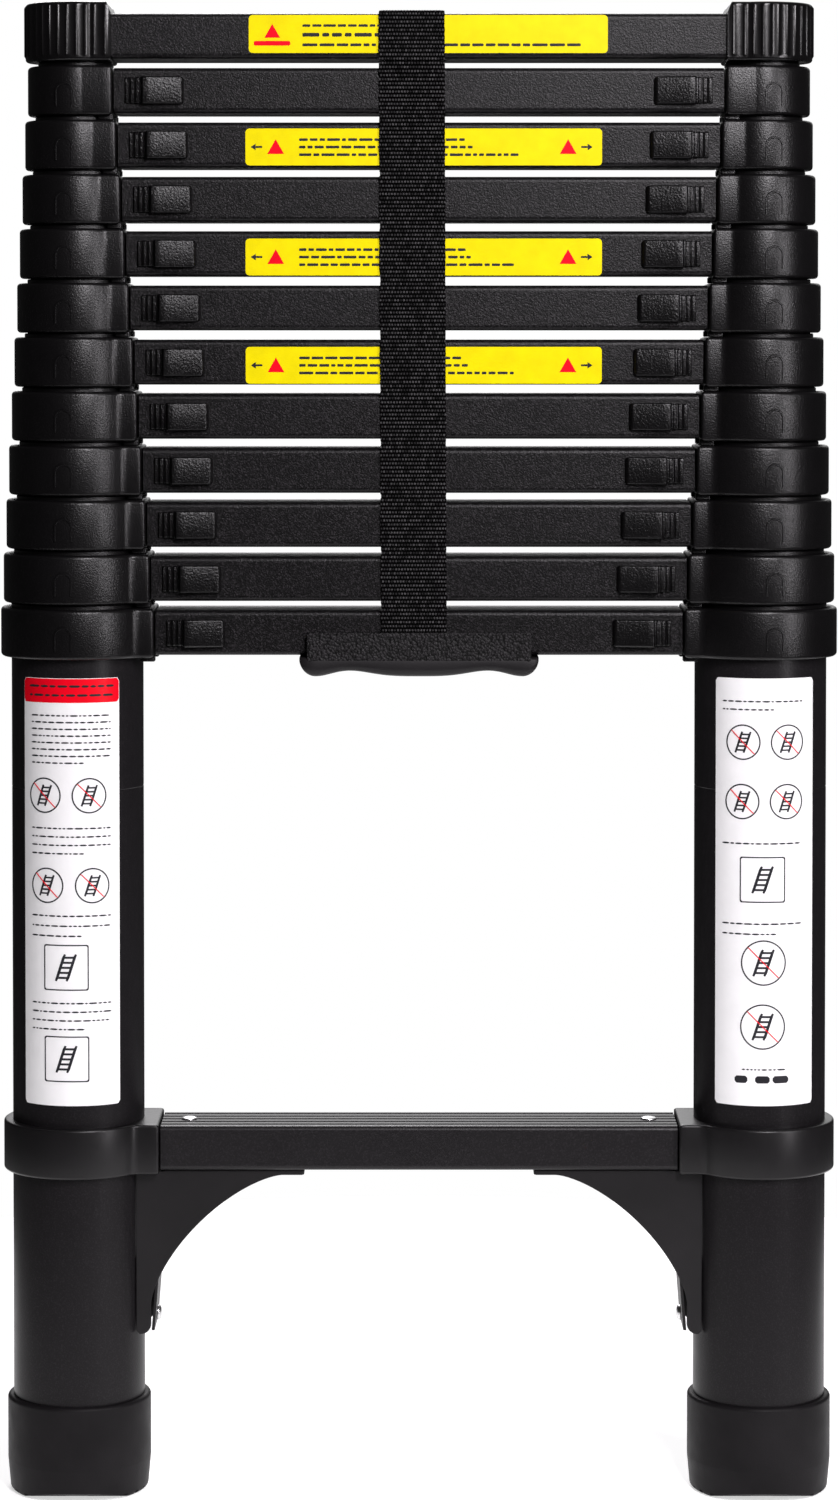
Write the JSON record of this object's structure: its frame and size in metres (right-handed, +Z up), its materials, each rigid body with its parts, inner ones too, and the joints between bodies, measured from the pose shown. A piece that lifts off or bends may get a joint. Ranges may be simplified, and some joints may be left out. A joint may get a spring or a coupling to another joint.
{
  "type": "telescoping ladder",
  "caption": "Telescoping ladder, closed: nested tube stiles, stacked rungs on collars with sliding thumb latches, gusseted bottom rung, rubber feet, strap and carry handle.",
  "frame": {"origin": "on the floor, midway between the two stiles", "axes": "+X across the ladder to the right, +Y from the front with the latches to the back, +Z up the stiles"},
  "size_m": [0.4892, 0.0892, 0.8699],
  "materials": {
    "black_aluminium": "satin",
    "collar_plastic": "satin",
    "cap_plastic": "satin",
    "latch_plastic": "satin",
    "fastener_steel": "satin",
    "foot_rubber": "satin",
    "handle_rubber": "matte",
    "strap_webbing": "matte"
  },
  "bodies": {
    "base": {"main_tubes": "black_aluminium", "base_rung": "black_aluminium", "base_collars": "collar_plastic", "bottom_rung": "black_aluminium", "bottom_rung_clamps": "collar_plastic", "gusset_brackets": "black_aluminium", "gusset_screws": "fastener_steel", "rung_rivets": "fastener_steel", "rubber_feet": "foot_rubber", "carry_handle": "handle_rubber", "carry_strap": "strap_webbing"},
    "sliding_section_1": {"section_1": "black_aluminium", "collars_1": "collar_plastic"},
    "sliding_section_2": {"section_2": "black_aluminium", "collars_2": "collar_plastic"},
    "sliding_section_3": {"section_3": "black_aluminium", "collars_3": "collar_plastic"},
    "sliding_section_4": {"section_4": "black_aluminium", "collars_4": "collar_plastic"},
    "sliding_section_5": {"section_5": "black_aluminium", "collars_5": "collar_plastic"},
    "sliding_section_6": {"section_6": "black_aluminium", "collars_6": "collar_plastic"},
    "sliding_section_7": {"section_7": "black_aluminium", "collars_7": "collar_plastic"},
    "sliding_section_8": {"section_8": "black_aluminium", "collars_8": "collar_plastic"},
    "sliding_section_9": {"section_9": "black_aluminium", "collars_9": "collar_plastic"},
    "sliding_section_10": {"section_10": "black_aluminium", "collars_10": "collar_plastic"},
    "sliding_section_11": {"section_11": "black_aluminium", "top_caps": "cap_plastic", "strap_top_flap": "strap_webbing"},
    "left_release_0": {"latch_left_0": "latch_plastic"},
    "right_release_0": {"latch_right_0": "latch_plastic"},
    "left_release_1": {"latch_left_1": "latch_plastic"},
    "right_release_1": {"latch_right_1": "latch_plastic"},
    "left_release_2": {"latch_left_2": "latch_plastic"},
    "right_release_2": {"latch_right_2": "latch_plastic"},
    "left_release_3": {"latch_left_3": "latch_plastic"},
    "right_release_3": {"latch_right_3": "latch_plastic"},
    "left_release_4": {"latch_left_4": "latch_plastic"},
    "right_release_4": {"latch_right_4": "latch_plastic"},
    "left_release_5": {"latch_left_5": "latch_plastic"},
    "right_release_5": {"latch_right_5": "latch_plastic"},
    "left_release_6": {"latch_left_6": "latch_plastic"},
    "right_release_6": {"latch_right_6": "latch_plastic"},
    "left_release_7": {"latch_left_7": "latch_plastic"},
    "right_release_7": {"latch_right_7": "latch_plastic"},
    "left_release_8": {"latch_left_8": "latch_plastic"},
    "right_release_8": {"latch_right_8": "latch_plastic"},
    "left_release_9": {"latch_left_9": "latch_plastic"},
    "right_release_9": {"latch_right_9": "latch_plastic"},
    "left_release_10": {"latch_left_10": "latch_plastic"},
    "right_release_10": {"latch_right_10": "latch_plastic"}
  },
  "joints": [
    {"name": "section_1_slide", "type": "slide", "parent": "base", "child": "sliding_section_1", "axis": [0, 0, 1], "range_m": [0, 0.2686]},
    {"name": "section_2_slide", "type": "slide", "parent": "sliding_section_1", "child": "sliding_section_2", "axis": [0, 0, 1], "range_m": [0, 0.2686]},
    {"name": "section_3_slide", "type": "slide", "parent": "sliding_section_2", "child": "sliding_section_3", "axis": [0, 0, 1], "range_m": [0, 0.2686]},
    {"name": "section_4_slide", "type": "slide", "parent": "sliding_section_3", "child": "sliding_section_4", "axis": [0, 0, 1], "range_m": [0, 0.2686]},
    {"name": "section_5_slide", "type": "slide", "parent": "sliding_section_4", "child": "sliding_section_5", "axis": [0, 0, 1], "range_m": [0, 0.2686]},
    {"name": "section_6_slide", "type": "slide", "parent": "sliding_section_5", "child": "sliding_section_6", "axis": [0, 0, 1], "range_m": [0, 0.2686]},
    {"name": "section_7_slide", "type": "slide", "parent": "sliding_section_6", "child": "sliding_section_7", "axis": [0, 0, 1], "range_m": [0, 0.2686]},
    {"name": "section_8_slide", "type": "slide", "parent": "sliding_section_7", "child": "sliding_section_8", "axis": [0, 0, 1], "range_m": [0, 0.2686]},
    {"name": "section_9_slide", "type": "slide", "parent": "sliding_section_8", "child": "sliding_section_9", "axis": [0, 0, 1], "range_m": [0, 0.2686]},
    {"name": "section_10_slide", "type": "slide", "parent": "sliding_section_9", "child": "sliding_section_10", "axis": [0, 0, 1], "range_m": [0, 0.2686]},
    {"name": "section_11_slide", "type": "slide", "parent": "sliding_section_10", "child": "sliding_section_11", "axis": [0, 0, 1], "range_m": [0, 0.2686]},
    {"name": "left_latch_0_slide", "type": "slide", "parent": "base", "child": "left_release_0", "axis": [1, 0, 0], "range_m": [0, 0.008], "stiffness_N_per_m": 500, "springref_m": -0.006},
    {"name": "right_latch_0_slide", "type": "slide", "parent": "base", "child": "right_release_0", "axis": [-1, 0, 0], "range_m": [0, 0.008], "stiffness_N_per_m": 500, "springref_m": -0.006},
    {"name": "left_latch_1_slide", "type": "slide", "parent": "sliding_section_1", "child": "left_release_1", "axis": [1, 0, 0], "range_m": [0, 0.008], "stiffness_N_per_m": 500, "springref_m": -0.006},
    {"name": "right_latch_1_slide", "type": "slide", "parent": "sliding_section_1", "child": "right_release_1", "axis": [-1, 0, 0], "range_m": [0, 0.008], "stiffness_N_per_m": 500, "springref_m": -0.006},
    {"name": "left_latch_2_slide", "type": "slide", "parent": "sliding_section_2", "child": "left_release_2", "axis": [1, 0, 0], "range_m": [0, 0.008], "stiffness_N_per_m": 500, "springref_m": -0.006},
    {"name": "right_latch_2_slide", "type": "slide", "parent": "sliding_section_2", "child": "right_release_2", "axis": [-1, 0, 0], "range_m": [0, 0.008], "stiffness_N_per_m": 500, "springref_m": -0.006},
    {"name": "left_latch_3_slide", "type": "slide", "parent": "sliding_section_3", "child": "left_release_3", "axis": [1, 0, 0], "range_m": [0, 0.008], "stiffness_N_per_m": 500, "springref_m": -0.006},
    {"name": "right_latch_3_slide", "type": "slide", "parent": "sliding_section_3", "child": "right_release_3", "axis": [-1, 0, 0], "range_m": [0, 0.008], "stiffness_N_per_m": 500, "springref_m": -0.006},
    {"name": "left_latch_4_slide", "type": "slide", "parent": "sliding_section_4", "child": "left_release_4", "axis": [1, 0, 0], "range_m": [0, 0.008], "stiffness_N_per_m": 500, "springref_m": -0.006},
    {"name": "right_latch_4_slide", "type": "slide", "parent": "sliding_section_4", "child": "right_release_4", "axis": [-1, 0, 0], "range_m": [0, 0.008], "stiffness_N_per_m": 500, "springref_m": -0.006},
    {"name": "left_latch_5_slide", "type": "slide", "parent": "sliding_section_5", "child": "left_release_5", "axis": [1, 0, 0], "range_m": [0, 0.008], "stiffness_N_per_m": 500, "springref_m": -0.006},
    {"name": "right_latch_5_slide", "type": "slide", "parent": "sliding_section_5", "child": "right_release_5", "axis": [-1, 0, 0], "range_m": [0, 0.008], "stiffness_N_per_m": 500, "springref_m": -0.006},
    {"name": "left_latch_6_slide", "type": "slide", "parent": "sliding_section_6", "child": "left_release_6", "axis": [1, 0, 0], "range_m": [0, 0.008], "stiffness_N_per_m": 500, "springref_m": -0.006},
    {"name": "right_latch_6_slide", "type": "slide", "parent": "sliding_section_6", "child": "right_release_6", "axis": [-1, 0, 0], "range_m": [0, 0.008], "stiffness_N_per_m": 500, "springref_m": -0.006},
    {"name": "left_latch_7_slide", "type": "slide", "parent": "sliding_section_7", "child": "left_release_7", "axis": [1, 0, 0], "range_m": [0, 0.008], "stiffness_N_per_m": 500, "springref_m": -0.006},
    {"name": "right_latch_7_slide", "type": "slide", "parent": "sliding_section_7", "child": "right_release_7", "axis": [-1, 0, 0], "range_m": [0, 0.008], "stiffness_N_per_m": 500, "springref_m": -0.006},
    {"name": "left_latch_8_slide", "type": "slide", "parent": "sliding_section_8", "child": "left_release_8", "axis": [1, 0, 0], "range_m": [0, 0.008], "stiffness_N_per_m": 500, "springref_m": -0.006},
    {"name": "right_latch_8_slide", "type": "slide", "parent": "sliding_section_8", "child": "right_release_8", "axis": [-1, 0, 0], "range_m": [0, 0.008], "stiffness_N_per_m": 500, "springref_m": -0.006},
    {"name": "left_latch_9_slide", "type": "slide", "parent": "sliding_section_9", "child": "left_release_9", "axis": [1, 0, 0], "range_m": [0, 0.008], "stiffness_N_per_m": 500, "springref_m": -0.006},
    {"name": "right_latch_9_slide", "type": "slide", "parent": "sliding_section_9", "child": "right_release_9", "axis": [-1, 0, 0], "range_m": [0, 0.008], "stiffness_N_per_m": 500, "springref_m": -0.006},
    {"name": "left_latch_10_slide", "type": "slide", "parent": "sliding_section_10", "child": "left_release_10", "axis": [1, 0, 0], "range_m": [0, 0.008], "stiffness_N_per_m": 500, "springref_m": -0.006},
    {"name": "right_latch_10_slide", "type": "slide", "parent": "sliding_section_10", "child": "right_release_10", "axis": [-1, 0, 0], "range_m": [0, 0.008], "stiffness_N_per_m": 500, "springref_m": -0.006}
  ]
}
